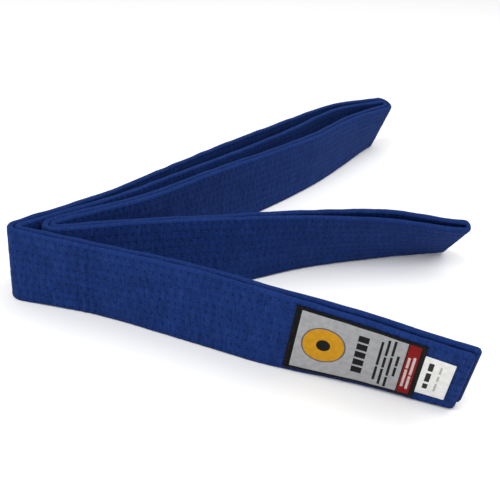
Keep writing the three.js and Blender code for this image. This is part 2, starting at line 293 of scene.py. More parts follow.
def middle_across(side):
    def across(a):
        t = a / MIDDLE_LENGTH
        return middle_spine_at(t) + side * middle_pitch_at(t) / 2

    return across


def run_length(start, end, across_at):
    a = np.linspace(start, end, LENGTH_SAMPLES)
    b = across_at(a)
    return float(np.hypot(np.diff(a), np.diff(b)).sum())


def front_length_left():
    """What the belt's length leaves for the front arm, once all else is made."""
    back_runs = run_length(0, BACK_LENGTH, rear_across(0))
    back_runs += run_length(nest_along, BACK_LENGTH, front_run_across(0))
    middle_run = run_length(0, MIDDLE_LENGTH, middle_across(0))
    folds = math.radians(left_turn) * LEFT_FOLD_RADIUS
    folds += math.radians(nest_turn) * NEST_FOLD_RADIUS + math.pi * BACK_TIP_RADIUS
    middle_tip = math.pi * middle_pitch_at(1) / 2
    half = (BELT_LENGTH - PLAIN_END_EXTRA - middle_tip) / 2
    return half - back_runs - middle_run - folds


FRONT_LENGTH = front_length_left()


def front_across(side):
    def across(a):
        t = a / FRONT_LENGTH
        return front_spine_at(t) + side * front_pitch_at(t) / 2

    return across


front_arm = Arm(
    left_centre,
    FRONT_HEADING,
    FRONT_LENGTH,
    FRONT_LEAN,
    FRONT_RAKE,
    front_spine_at,
    lambda t: front_pitch_at(t) / 2 + HALF_THICKNESS + LABEL_REACH,
)
back_arm = Arm(
    left_centre,
    BACK_HEADING,
    BACK_LENGTH,
    BACK_LEAN,
    BACK_RAKE,
    lambda t: (rear_pair_at(t) + front_pair_at(t)) / 2,
    lambda t: (rear_pair_at(t) - front_pair_at(t)) / 2 + HALF_PITCH + HALF_THICKNESS,
)
middle_arm = Arm(
    nest_centre,
    MIDDLE_HEADING,
    MIDDLE_LENGTH,
    MIDDLE_LEAN,
    MIDDLE_RAKE,
    middle_spine_at,
    lambda t: middle_pitch_at(t) / 2 + HALF_THICKNESS,
)


# ---------- the path of the strip ----------


class Path:
    """The strip's stations, each with its arm and (a, b, left normal's a and b, length run)."""

    def __init__(self):
        self.arms = []
        self.stations = []
        self.length = 0.0

    def add(self, arm, a, b):
        """Adds points (a, b) in the arm's frame; the first one repeats the last station."""
        run = np.concatenate([[0], np.cumsum(np.hypot(np.diff(a), np.diff(b)))])
        step_a = np.gradient(a, run)
        step_b = np.gradient(b, run)
        size = np.hypot(step_a, step_b)
        first = 1 if self.stations else 0
        for k in range(first, len(a)):
            self.arms.append(ARMS.index(arm))
            self.stations.append(
                (a[k], b[k], -step_b[k] / size[k], step_a[k] / size[k], self.length + run[k])
            )
        self.length += run[-1]

    def straight(self, arm, start, end, across_at):
        steps = max(2, round(abs(end - start) / ALONG_STEP))
        a = np.linspace(start, end, steps + 1)
        self.add(arm, a, across_at(a))

    def arc(self, arm, centre, radius, start, end):
        steps = max(4, round(abs(end - start) / ARC_STEP))
        angle = np.radians(np.linspace(start, end, steps + 1))
        self.add(arm, centre[0] + radius * np.cos(angle), centre[1] + radius * np.sin(angle))

    def close(self):
        """Turns the lists into arrays, once the whole strip is in them."""
        self.arms = np.array(self.arms)
        self.stations = np.array(self.stations)

    def place(self, at, m, v):
        """Points at offset m to the left and height v from stations number at.

        m and v have one shape, and at has that shape or a single column of it.
        """
        a, b, left_a, left_b, _ = np.moveaxis(self.stations[at], -1, 0)
        a = a + m * left_a
        b = b + m * left_b
        arms = np.broadcast_to(self.arms[at], a.shape)
        points = np.zeros(a.shape + (3,))
        for k, arm in enumerate(ARMS):
            chosen = arms == k
            points[chosen] = arm.place(a[chosen], b[chosen], v[chosen])
        return points

    def points_at(self, s, m, v):
        """Points at running length s, offset m and height v, all three of the same shape."""
        reached = self.stations[:, -1]
        low = np.clip(np.searchsorted(reached, s, side="right") - 1, 0, len(reached) - 2)
        u = (s - reached[low]) / (reached[low + 1] - reached[low])
        here = self.place(low, m, v)
        after = self.place(low + 1, m, v)
        return here + (after - here) * u[..., None]


ARMS = [front_arm, back_arm, middle_arm]
LEFT_CUT = 16
NEST_CUT = 22


def belt_path():
    """The whole strip from its labelled end to its plain end, with the station of each cut."""
    path = Path()
    cuts = [0]
    outer_left = LEFT_FOLD_RADIUS + HALF_PITCH
    inner_left = LEFT_FOLD_RADIUS - HALF_PITCH
    outer_nest = NEST_FOLD_RADIUS + HALF_PITCH
    inner_nest = NEST_FOLD_RADIUS - HALF_PITCH
    tip = (BACK_LENGTH, BACK_TIP_ACROSS)
    nest = (nest_along, nest_across)
    middle_tip = (MIDDLE_LENGTH, float(middle_spine_at(1)))
    half_left = left_turn / 2
    half_nest = nest_turn / 2

    def cut():
        cuts.append(len(path.stations) - 1)

    path.straight(front_arm, FRONT_LENGTH, 0, front_across(-1))
    path.arc(front_arm, (0, 0), outer_left, -90, -90 - half_left)
    path.arc(back_arm, (0, 0), outer_left, 90 + half_left, 90)
    path.straight(back_arm, 0, LEFT_CUT, rear_across(1))
    cut()
    path.straight(back_arm, LEFT_CUT, BACK_LENGTH, rear_across(1))
    path.arc(back_arm, tip, BACK_TIP_RADIUS + HALF_PITCH, 90, -90)
    path.straight(back_arm, BACK_LENGTH, nest_along + NEST_CUT, front_run_across(1))
    cut()
    path.straight(back_arm, nest_along + NEST_CUT, nest_along, front_run_across(1))
    path.arc(back_arm, nest, inner_nest, 90, 90 + half_nest)
    path.arc(middle_arm, (0, 0), inner_nest, -90 - half_nest, -90)
    path.straight(middle_arm, 0, MIDDLE_LENGTH, middle_across(1))
    path.arc(middle_arm, middle_tip, float(middle_pitch_at(1)) / 2, 90, -90)
    path.straight(middle_arm, MIDDLE_LENGTH, 0, middle_across(-1))
    path.arc(middle_arm, (0, 0), outer_nest, -90, -90 - half_nest)
    path.arc(back_arm, nest, outer_nest, 90 + half_nest, 90)
    path.straight(back_arm, nest_along, nest_along + NEST_CUT, front_run_across(-1))
    cut()
    path.straight(back_arm, nest_along + NEST_CUT, BACK_LENGTH, front_run_across(-1))
    path.arc(back_arm, tip, BACK_TIP_RADIUS - HALF_PITCH, -90, 90)
    path.straight(back_arm, BACK_LENGTH, LEFT_CUT, rear_across(-1))
    cut()
    path.straight(back_arm, LEFT_CUT, 0, rear_across(-1))
    path.arc(back_arm, (0, 0), inner_left, 90, 90 + half_left)
    path.arc(front_arm, (0, 0), inner_left, -90 - half_left, -90)
    path.straight(front_arm, 0, FRONT_LENGTH + PLAIN_END_EXTRA, front_across(1))
    cut()
    path.close()
    return path, cuts


path, cuts = belt_path()
runs = path.stations[:, -1]
total_length = runs[-1]


# ---------- the quilted surface ----------

row_phase = np.random.RandomState(11).uniform(0, STITCH_LENGTH, ROW_COUNT)
row_drift = [wander(seed=20 + k, spacing=90) for k in range(ROW_COUNT)]
puckers = [wander(seed=40 + k, spacing=2.3) for k in range(ROW_COUNT + 1)]
cross_ripple = wander(seed=60, spacing=1.7)
slow_ripple = wander(seed=61, spacing=13)
edge_ripple = wander(seed=62, spacing=9)

# Each crease is (place after the first one, depth, width). They stand across the strip, lean a
# little, wander by CREASE_WANDER and lose up to twice CREASE_FADE of their depth on the way.
CREASE_AT = 188.5
CREASES = [(0, 0.95, 0.9), (5.5, 0.45, 1.1), (-3.6, 0.4, 0.9), (9.8, 0.35, 1.2)]
CREASE_SLANT = 0.05
CREASE_WANDER = 0.6
CREASE_WANDER_RATE = 3
CREASE_FADE = 0.25
CREASE_FADE_RATE = 2
CREASE_FADE_APART = 40
CREASE_SHADE = 0.5


def hole_distance(row, s):
    """How far s is from the nearest needle hole of a row."""
    phase = (s + HOLE_WANDER * row_drift[row](s) - row_phase[row]) / STITCH_LENGTH
    return (phase - np.round(phase)) * STITCH_LENGTH


def relief(s, v):
    """How far the cloth stands proud of its flat face, in millimetres, and how much painted shade its
    stitched grooves and needle holes get.
    """
    rise = RIPPLE_HEIGHT * cross_ripple(s + RIPPLE_SLANT * v) + SLOW_RIPPLE_HEIGHT * slow_ripple(s)
    sewn = np.zeros_like(s + v)
    for row, row_v in enumerate(rows_at):
        across = v - row_v - ROW_WANDER * row_drift[row](s)
        groove = np.exp(-((across / GROOVE_WIDTH) ** 2))
        hole = np.exp(-((hole_distance(row, s) / HOLE_LENGTH) ** 2))
        rise = rise - groove * (GROOVE_DEPTH + HOLE_DEPTH * hole)
        # sewn is painted shade: full in the needle holes, a smaller share along the grooves.
        sewn = sewn + groove * (GROOVE_SHADE + (1 - GROOVE_SHADE) * hole)
    channel = (v - rows_at[0]) / row_gap
    puff = np.sin(np.pi * np.clip(channel, -0.5, ROW_COUNT - 0.5)) ** 2
    lower = np.clip(np.floor(channel).astype(int) + 1, 0, ROW_COUNT)
    ripple = np.zeros_like(s + v)
    for index, pucker in enumerate(puckers):
        ripple = ripple + np.where(lower == index, pucker(s + 0 * v), 0)
    rise = rise + puff * PUFF + PUCKER_HEIGHT * ripple
    return rise, sewn


def creases(s, v):
    """How deep the upright creases are where the front arm was once folded."""
    depth = np.zeros_like(s + v)
    for offset, deep, wide in CREASES:
        bend = CREASE_WANDER * slow_ripple(v * CREASE_WANDER_RATE + offset)
        centre = CREASE_AT + offset - CREASE_SLANT * v + bend
        uneven = slow_ripple(v * CREASE_FADE_RATE + CREASE_FADE_APART * offset)
        fade = 1 - CREASE_FADE + CREASE_FADE * uneven
        depth = depth + deep * fade * np.exp(-(((s - centre) / wide) ** 2))
    return depth


BESIDE_ROW = [-1.1, -0.5, 0, 0.5, 1.1]
FLAT_HALF = HALF_WIDTH - HALF_THICKNESS


def face_heights():
    """Heights across a face, closer together beside each stitched row."""
    heights = [row + step for row in rows_at for step in BESIDE_ROW if abs(row + step) < FLAT_HALF]
    heights += [(rows_at[k] + rows_at[k + 1]) / 2 for k in range(ROW_COUNT - 1)]
    return np.array(sorted(heights + [-FLAT_HALF, FLAT_HALF]))


EDGE_STEPS = 9
EDGE_WANDER = 0.25
# A painted highlight along the strip's rounded edges, as a share of the colour.
EDGE_HIGHLIGHT = 0.12
END_ROUND = 1.6
END_THICKNESS_SQUARED = 0.1
CORNER_ROUND = 3.0
CORNER_SHARE = 0.6
OTHER_FACE_AWAY = 60


def section_outline():
    """The strip's section as (side, height): up the left face, over, down the right, and under."""
    heights = face_heights()
    turn = np.linspace(0, np.pi, EDGE_STEPS + 2)[1:-1]
    m = [np.ones_like(heights), np.cos(turn), -np.ones_like(heights), -np.cos(turn)]
    v = [
        heights,
        FLAT_HALF + HALF_THICKNESS * np.sin(turn),
        heights[::-1],
        -FLAT_HALF - HALF_THICKNESS * np.sin(turn),
    ]
    return np.concatenate(m), np.concatenate(v)


def end_shape(s):
    """The share of its thickness that the strip keeps near a free end, and the width it loses."""
    from_end = np.minimum(s, total_length - s)
    thin = np.clip(1 - from_end / END_ROUND, 0, 1)
    corner = np.clip(1 - from_end / CORNER_ROUND, 0, 1)
    thickness = np.sqrt(np.maximum(1 - thin**2, END_THICKNESS_SQUARED))
    lost = CORNER_ROUND * (1 - np.sqrt(1 - corner**2)) * CORNER_SHARE
    return thickness, lost


def mesh_object(name, points, faces, materials, uv, marks=None):
    """A smooth mesh with its cloth places as UVs, and a named value per point for each mark."""
    mesh = bpy.data.meshes.new(name)
    mesh.from_pydata(points.reshape(-1, 3).tolist(), [], faces)
    for material in materials:
        mesh.materials.append(material)
    mesh.polygons.foreach_set("use_smooth", np.ones(len(mesh.polygons), bool))
    corners = np.zeros(len(mesh.loops), int)
    mesh.loops.foreach_get("vertex_index", corners)
    layer = mesh.uv_layers.new(name="cloth")
    layer.data.foreach_set("uv", uv.reshape(-1, 2)[corners].astype(np.float32).ravel())
    for key, values in (marks or {}).items():
        attribute = mesh.attributes.new(key, "FLOAT", "POINT")
        attribute.data.foreach_set("value", values.astype(np.float32).ravel())
    obj = bpy.data.objects.new(name, mesh)
    bpy.context.scene.collection.objects.link(obj)
    return obj


def tube_faces(count, size, cap=True):
    """Quads round a tube of count rings of size points and, with cap, a face over each end."""
    ring = np.arange(size)
    after = (ring + 1) % size
    faces = []
    for k in range(count - 1):
        low = k * size
        faces += np.stack([low + ring, low + after, low + size + after, low + size + ring], 1).tolist()
    if cap:
        faces.append(list(range(size))[::-1])
        faces.append(list(range((count - 1) * size, count * size)))
    return faces


def cloth_strand(name, first, last, material):
    """The quilted strip from one cut to the next, as a closed tube."""
    side, height = section_outline()
    s = runs[first : last + 1, None]
    thickness, lost = end_shape(s)
    waver = EDGE_WANDER * edge_ripple(s) * (height / HALF_WIDTH) ** 3
    v = height[None] * (1 - lost / HALF_WIDTH) + waver
    rise, sewn = relief(s, v)
    flatness = side**2
    crease = creases(s, v)
    m = side * (HALF_THICKNESS + rise * flatness) * thickness
    m = m - crease * np.where(side > 0, 1, -1)
    points = path.place(np.arange(first, last + 1)[:, None], m, v)
    points[..., 2] = np.maximum(points[..., 2], 0)
    uv = np.stack(np.broadcast_arrays(s, v + OTHER_FACE_AWAY * (side < 0)), -1)
    faces = tube_faces(len(s), len(side))
    # Painted light and shade for the colour: a painted highlight on raised cloth and on the rounded
    # edges, painted shade in the grooves, needle holes and creases.
    shade = rise * flatness + EDGE_HIGHLIGHT * (1 - flatness) - CREASE_SHADE * crease
    marks = {"sewn": sewn * flatness, "rise": shade}
    return mesh_object(name, points, faces, [material], uv, marks)


# ---------- thread ----------

THREAD_SIDES = 6
THREAD_RINGS = 7
THREAD_RADIUS = 0.15
THREAD_SQUASH = 0.8
THREAD_END_SHARE = 0.35
THREAD_DIP = 0.3
THREAD_DIP_FROM = 0.8
SWELL_CUT = 0.04
SWELL_POWER = 0.45
THREAD_FLOOR = 1.2 * GROOVE_DEPTH
THREAD_ABOVE_GROUND = 0.01 * MM
HOLE_GAP = 0.2


def row_holes(row, low, high):
    """The needle holes of a row between two running lengths."""
    first = math.ceil((low - row_phase[row]) / STITCH_LENGTH) - 1
    last = math.floor((high - row_phase[row]) / STITCH_LENGTH) + 1
    holes = row_phase[row] + STITCH_LENGTH * np.arange(first, last + 1)
    holes = holes - HOLE_WANDER * row_drift[row](holes)
    return holes[(holes > low) & (holes < high)]


def row_floor(s, v):
    """Where a row's thread lies: in its groove, but not down in the needle holes."""
    rise, _ = relief(s, v)
    return np.maximum(rise, -THREAD_FLOOR)


def thread_mesh(name, spans, material, floor_at=row_floor):
    """One short thread for each span (start s, end s, start v, end v), dipping at both ends."""
    spans = np.array(spans)
    u = np.linspace(0, 1, THREAD_RINGS)
    angle = np.linspace(0, 2 * np.pi, THREAD_SIDES, endpoint=False)
    swell = np.sin(np.pi * np.clip(u, SWELL_CUT, 1 - SWELL_CUT)) ** SWELL_POWER
    s = spans[:, 0:1] + (spans[:, 1:2] - spans[:, 0:1]) * u
    v = spans[:, 2:3] + (spans[:, 3:4] - spans[:, 2:3]) * u
    length = np.hypot(spans[:, 1] - spans[:, 0], spans[:, 3] - spans[:, 2])[:, None, None]
    centre = HALF_THICKNESS + floor_at(s, v) + THREAD_DIP * (swell - THREAD_DIP_FROM)
    thickness = THREAD_END_SHARE + (1 - THREAD_END_SHARE) * swell
    wide = THREAD_RADIUS * thickness[None, :, None]
    s_unit = (spans[:, 1] - spans[:, 0])[:, None, None] / length
    v_unit = (spans[:, 3] - spans[:, 2])[:, None, None] / length
    across = wide * np.cos(angle)
    m = centre[..., None] + THREAD_SQUASH * wide * np.sin(angle)
    ring_s = s[..., None] - across * v_unit
    ring_v = v[..., None] + across * s_unit
    points = path.points_at(ring_s.ravel(), m.ravel(), ring_v.ravel())
    points[:, 2] = np.maximum(points[:, 2], THREAD_ABOVE_GROUND)
    one = np.array(tube_faces(THREAD_RINGS, THREAD_SIDES, cap=False))
    size = THREAD_RINGS * THREAD_SIDES
    faces = (one[None] + size * np.arange(len(spans))[:, None, None]).reshape(-1, 4).tolist()
    caps = [list(range(THREAD_SIDES))[::-1], list(range(size - THREAD_SIDES, size))]
    faces += [[size * k + i for i in cap] for k in range(len(spans)) for cap in caps]
    uv = np.stack([ring_s, ring_v * 0 + np.broadcast_to(angle, ring_v.shape)], -1)
    return mesh_object(name, points, faces, [material], uv)


END_ROW_INSET = 4


def strand_threads(name, first, last, material):
    """The stitched rows on the strip's outer face, and a row across each free end."""
    starts_free = first == 0
    ends_free = last == len(runs) - 1
    low = runs[first] + (END_ROW_INSET if starts_free else 0)
    high = runs[last] - (END_ROW_INSET if ends_free else 0)
    spans = []
    for row, row_v in enumerate(rows_at):
        holes = row_holes(row, low, high + STITCH_LENGTH)
        for start, end in zip(holes[:-1], holes[1:]):
            if end > high and ends_free:
                continue
            middle = (start + end) / 2
            v = row_v + ROW_WANDER * float(row_drift[row](middle))
            spans.append((start + HOLE_GAP, end - HOLE_GAP, v, v))
    count = round(2 * OUTER_ROW / STITCH_LENGTH)
    ends = np.linspace(-OUTER_ROW, OUTER_ROW, count + 1)
    for at in [low] * starts_free + [high] * ends_free:
        spans += [(at, at, a + HOLE_GAP, b - HOLE_GAP) for a, b in zip(ends[:-1], ends[1:])]
    return thread_mesh(name, spans, material)


# ---------- materials ----------


class Nodes:
    """A short way to write a material's nodes."""

    def __init__(self, name, roughness, specular):
        self.material = bpy.data.materials.new(name)
        self.material.use_nodes = True
        self.tree = self.material.node_tree
        self.shader = self.tree.nodes["Principled BSDF"]
        self.shader.inputs["Roughness"].default_value = roughness
        self.shader.inputs["Specular IOR Level"].default_value = specular

    def link(self, value, socket):
        if isinstance(value, bpy.types.NodeSocket):
            self.tree.links.new(value, socket)
        else:
            socket.default_value = value

    def math(self, operation, *values):
        node = self.tree.nodes.new("ShaderNodeMath")
        node.operation = operation
        for value, socket in zip(values, node.inputs):
            self.link(value, socket)
        return node.outputs[0]

    def swing(self, value, noise, share):
        """The value, raised and lowered by a share of a noise from 0 to 1."""
        return self.math("MULTIPLY_ADD", self.math("SUBTRACT", noise, 0.5), share, value)

    def cloth_place(self):
        """Millimetres along and across the cloth."""
        uv = self.tree.nodes.new("ShaderNodeUVMap")
        uv.uv_map = "cloth"
        split = self.tree.nodes.new("ShaderNodeSeparateXYZ")
        self.link(uv.outputs["UV"], split.inputs[0])
        return split.outputs["X"], split.outputs["Y"]

    def noise(self, along, across, detail):
        """Noise from 0 to 1 with the given numbers of features per millimetre."""
        u, v = self.cloth_place()
        join = self.tree.nodes.new("ShaderNodeCombineXYZ")
        self.link(self.math("MULTIPLY", u, along), join.inputs[0])
        self.link(self.math("MULTIPLY", v, across), join.inputs[1])
        node = self.tree.nodes.new("ShaderNodeTexNoise")
        self.link(join.outputs[0], node.inputs["Vector"])
        node.inputs["Scale"].default_value = 1
        node.inputs["Detail"].default_value = detail
        return node.outputs["Fac"]

    def ribs(self, along, across):
        """Waves from -1 to 1 with the given periods in millimetres; 0 means none that way."""
        u, v = self.cloth_place()
        waves = []
        for place_on, period in ((u, along), (v, across)):
            if period:
                turns = self.math("MULTIPLY", place_on, 2 * math.pi / period)
                waves.append(self.math("SINE", turns))
        return waves[0] if len(waves) == 1 else self.math("MULTIPLY", *waves)

    def mark(self, name):
        """One of the mesh's own marks: rise (painted highlight on raised cloth and edges, painted shade
        in grooves, needle holes and creases) or sewn (painted shade in the stitched grooves and needle
        holes).
        """
        node = self.tree.nodes.new("ShaderNodeAttribute")
        node.attribute_name = name
        return node.outputs["Fac"]

    def colours(self, value, stops):
        ramp = self.tree.nodes.new("ShaderNodeValToRGB")
        self.link(value, ramp.inputs[0])
        elements = ramp.color_ramp.elements
        while len(elements) < len(stops):
            elements.new(0.5)
        for element, (at, colour) in zip(elements, stops):
            element.position = at
            element.color = (*colour, 1)
        self.link(ramp.outputs[0], self.shader.inputs["Base Color"])

    def bump(self, height, distance, strength):
        """A fine relief whose height of 1 stands for a distance in millimetres."""
        node = self.tree.nodes.new("ShaderNodeBump")
        node.inputs["Strength"].default_value = strength
        node.inputs["Distance"].default_value = distance * MM
        self.link(height, node.inputs["Height"])
        self.link(node.outputs[0], self.shader.inputs["Normal"])

    def vary_roughness(self, value, low, high):
        spread = self.math("MULTIPLY_ADD", value, high - low, low)
        self.link(spread, self.shader.inputs["Roughness"])

    def sheen(self, weight, roughness, tint):
        self.shader.inputs["Sheen Weight"].default_value = weight
        self.shader.inputs["Sheen Roughness"].default_value = roughness
        self.shader.inputs["Sheen Tint"].default_value = (*tint, 1)


def cotton_material():
    """Blue plain-woven cotton: upright slubs, with painted shade in the needle holes and a painted
    highlight on raised ridges and edges.
    """
    n = Nodes("blue_cotton", roughness=0.85, specular=0.06)
    slubs = n.noise(along=0.9, across=0.1, detail=3)
    mottle = n.noise(along=0.06, across=0.08, detail=2)
    grain = n.noise(along=1.3, across=0.9, detail=3)
    painted_light_share, stitch_shade_share = 0.5, -0.42
    value = n.swing(0.5, slubs, share=0.85)
    value = n.swing(value, mottle, share=0.3)
    value = n.swing(value, grain, share=0.8)
    # Painted light: the rise mark lightens raised cloth and edges and darkens grooves, holes and
    # creases, and the sewn mark darkens the stitched grooves and needle holes as painted shade.
    value = n.math("MULTIPLY_ADD", n.mark("rise"), painted_light_share, value)
    value = n.math("MULTIPLY_ADD", n.mark("sewn"), stitch_shade_share, value)
    n.colours(
        value,
        [
            (0.1, (0.003, 0.011, 0.062)),
            (0.45, (0.0058, 0.021, 0.108)),
            (0.62, (0.008, 0.027, 0.132)),
            (0.9, (0.017, 0.044, 0.182)),
        ],
    )
    weave_height, slub_height, grain_height = 0.3, 0.8, 0.5
    weave = n.math("MULTIPLY", n.ribs(along=0.8, across=0.9), weave_height)
    height = n.math("ADD", n.math("MULTIPLY", slubs, slub_height), weave)
    height = n.math("MULTIPLY_ADD", grain, grain_height, height)
    n.bump(height, distance=0.18, strength=0.8)
    n.vary_roughness(grain, low=0.78, high=0.95)
    n.sheen(weight=0.05, roughness=0.5, tint=(0.2, 0.4, 0.95))
    return n.material


def thread_material(name, dark, light):
    """Twisted sewing thread: fine slanting plies along its length."""
    n = Nodes(name, roughness=0.65, specular=0.06)
    twist_rate, ply_share = 9.0, 0.22
    u, v = n.cloth_place()
    plies = n.math("SINE", n.math("MULTIPLY_ADD", u, twist_rate, v))
    shade = n.math("MULTIPLY_ADD", plies, ply_share, n.noise(along=0.8, across=0.2, detail=1))
    n.colours(shade, [(0.15, dark), (0.8, light)])
    n.bump(plies, distance=0.05, strength=0.6)
    n.vary_roughness(shade, low=0.55, high=0.75)
    return n.material


def label_material(name, dark, light, roughness=0.55):
    """Close damask weave: fine weft lines with a little unevenness."""
    n = Nodes(name, roughness, specular=0.07)
    weft_share, warp_share, warp_height = 0.16, 0.1, 0.6
    weft = n.ribs(along=0, across=0.42)
    warp = n.ribs(along=0.36, across=0)
    patchy = n.noise(along=0.35, across=0.35, detail=3)
    shade = n.math("MULTIPLY_ADD", weft, weft_share, patchy)
    shade = n.math("MULTIPLY_ADD", warp, warp_share, shade)
    n.colours(shade, [(0.2, dark), (0.75, light)])
    height = n.math("ADD", weft, n.math("MULTIPLY", warp, warp_height))
    n.bump(height, distance=0.05, strength=0.7)
    n.vary_roughness(patchy, low=roughness - 0.08, high=roughness + 0.12)
    n.sheen(weight=0.02, roughness=0.4, tint=(1, 1, 1))
    return n.material


def floor_material():
    n = Nodes("pale_floor", roughness=0.9, specular=0.1)
    texture = n.tree.nodes.new("ShaderNodeTexNoise")
    texture.inputs["Scale"].default_value = 6
    n.colours(texture.outputs["Fac"], [(0.2, (0.9, 0.9, 0.9)), (0.8, (0.93, 0.93, 0.93))])
    return n.material


# ---------- label and tag ----------

BORDER = 2.2
LABEL_SKEW = 0.08
LABEL_LIFT = 0.12
LABEL_FACE = 0.62
LABEL_RISE = 0.12
LABEL_RISE_REACH = 8
LABEL_WAVE_SLANT = 0.3
LABEL_ROUNDING = 0.8
LABEL_STEP = 0.5
PLATE_EDGE_DROP = 0.9
PLATE_STEP = 0.6
DISC_LINES = 33
label_end = LABEL_START + LABEL_LENGTH
label_wave = wander(seed=80, spacing=8)
label_strand = path.stations[: int(np.argmax(path.arms != ARMS.index(front_arm)))]


def run_at(a):
    """The running length of a place along the front arm, on its labelled strand."""
    return np.interp(-a, -label_strand[:, 0], label_strand[:, -1])


def skewed(a, v):
    """Places on the label, whose left edge is sewn askew and whose right edge is upright."""
    return a + LABEL_SKEW * v * np.clip((label_end - a) / LABEL_LENGTH, 0, 1)


def on_face(a, v, lift):
    """Points on the labelled face, a along the front arm, lifted off its flat surface."""
    return path.points_at(run_at(a), HALF_THICKNESS + lift, v)


class Patchwork:
    """Thin closed plates that lie on the labelled face, joined in one mesh."""

    def __init__(self, name, lift_at):
        self.name = name
        self.lift_at = lift_at
        self.points, self.faces, self.slots, self.uv = [], [], [], []
        self.count = 0

    def add(self, a, v, low, high, rounding, edge_distance, slot):
        """A plate over a grid of places (a, v): its face is rounded down towards its edges."""
        a = skewed(a, v)
        drop = np.clip(1 - edge_distance / rounding, 0, 1)
        face = low + (high - low) * np.sqrt(1 - PLATE_EDGE_DROP * drop**2)
        lift = self.lift_at(a, v)
        for level in (face, np.full_like(face, low)):
            self.points.append(on_face(a.ravel(), v.ravel(), (level + lift).ravel()))
            self.uv.append(np.stack([a.ravel(), v.ravel()], 1))
        rows, columns = a.shape
        grid = np.arange(rows * columns).reshape(rows, columns) + self.count
        back = grid + rows * columns
        quads = np.stack([grid[:-1, :-1], grid[1:, :-1], grid[1:, 1:], grid[:-1, 1:]], -1)
        under = np.stack([back[:-1, :-1], back[:-1, 1:], back[1:, 1:], back[1:, :-1]], -1)
        rim = np.concatenate([grid[0, :], grid[1:, -1], grid[-1, -2::-1], grid[-2:0:-1, 0]])
        rim_back = rim + rows * columns
        after, after_back = np.roll(rim, -1), np.roll(rim_back, -1)
        side = np.stack([rim, after, after_back, rim_back], -1)
        for part in (quads.reshape(-1, 4), under.reshape(-1, 4), side):
            self.faces += part.tolist()
            self.slots += [slot] * len(part)
        self.count += 2 * rows * columns

    def plate(self, from_a, to_a, from_v, to_v, low, high, slot, rounding, step):
        """A rectangular plate, in a grid of squares of about one step."""
        across = max(3, math.ceil((to_v - from_v) / step) + 1)
        along = max(3, math.ceil((to_a - from_a) / step) + 1)
        a, v = np.meshgrid(np.linspace(from_a, to_a, along), np.linspace(from_v, to_v, across))
        edge = np.minimum(np.minimum(a - from_a, to_a - a), np.minimum(v - from_v, to_v - v))
        self.add(a, v, low, high, rounding, edge, slot)

    def disc(self, centre_a, centre_v, radius, low, high, slot, rounding):
        """A round plate: a square grid squeezed into a circle."""
        line = np.linspace(-1, 1, DISC_LINES)
        x, y = np.meshgrid(line, line)
        a = x * np.sqrt(1 - y**2 / 2)
        v = y * np.sqrt(1 - x**2 / 2)
        edge = radius * (1 - np.hypot(a, v))
        self.add(centre_a + radius * a, centre_v + radius * v, low, high, rounding, edge, slot)

    def build(self, materials):
        points = np.concatenate(self.points)
        obj = mesh_object(self.name, points, self.faces, materials, np.concatenate(self.uv))
        obj.data.polygons.foreach_set("material_index", self.slots)
        return obj


def label_waves(a, v):
    """The label isn't quite flat: it rises a little between its sewn edges."""
    from_left = np.clip((a - LABEL_START) / LABEL_RISE_REACH, 0, 1)
    from_right = np.clip((label_end - a) / LABEL_RISE_REACH, 0, 1)
    return LABEL_RISE * from_left * from_right * (1 + label_wave(a + LABEL_WAVE_SLANT * v))


def label_base(material):
    base = Patchwork("woven_label_cloth", label_waves)
    base.plate(
        *(LABEL_START, label_end, LABEL_LOW, LABEL_HIGH, LABEL_LIFT, LABEL_FACE),
        slot=0,
        rounding=LABEL_ROUNDING,
        step=LABEL_STEP,
    )
    return base.build([material])


DASH_SHARES = (0.6, 1.4)
DASH_GAP = 0.9
DASH_HEIGHT = 0.07
DASH_ROUNDING = 0.15


def dashes(work, at, width, low, high, count, slot, base, seed):
    """A column of plain bars that stands where a line of words would."""
    share = np.random.RandomState(seed).uniform(*DASH_SHARES, count)
    lengths = share / share.sum() * (high - low - DASH_GAP * (count - 1))
    top = base + DASH_HEIGHT
    start = low
    for length in lengths:
        end = start + length
        work.plate(at, at + width, start, end, base, top, slot, DASH_ROUNDING, PLATE_STEP)
        start = end + DASH_GAP


# The label's pattern is placed from the label's start, the belt's middle height and the field's
# face, and the band's text from the band. FIELD_INSETS are left, low and high. Each of DISCS is
# (colour, radius, back, front), and each of TEXT_LINES is (half its height, dashes).
FIELD_THICKNESS = 0.05
FIELD_SUNK = 0.1
FIELD_INSETS = (0.6, 1.7, 1.3)
FIELD_ROUNDING = 0.2
BAND_WIDTH = 5.8
BAND_PROUD = 0.02
DISC_ROUNDING = 0.3
DISC_MIDDLE = (16.4, 0.6)
DISCS = [("grey", 10.6, -0.05, 0.07), ("amber", 10.0, 0, 0.12), ("black", 3.4, 0.06, 0.17)]
BAR_ENDS = (31.2, 36.2)
BAR_COUNT = 5
BAR_LOWEST = -11.2
BAR_PITCH = 5.1
BAR_WIDTH = 3.9
BAR_SUNK = 0.02
BAR_PROUD = 0.12
BAR_ROUNDING = 0.3
BAR_STEP = 0.7
LINE_WIDTH = 1.2
TEXT_START = 41.6
TEXT_PITCH = 2.75
TEXT_MIDDLE = 0.4
TEXT_LINES = [(13.2, 2), (15.4, 3), (16.2, 3), (7.2, 2)]
TEXT_SEED = 5
BAND_TEXT_START = 1.1
BAND_TEXT_PITCH = 2.2
BAND_TEXT_MIDDLE = -1.5
BAND_TEXT_REACHES = [10.5, 11.5]
BAND_TEXT_DASHES = 2
BAND_TEXT_SEED = 15
LABEL_COLOURS = ["silver", "amber", "grey", "black", "red", "white"]


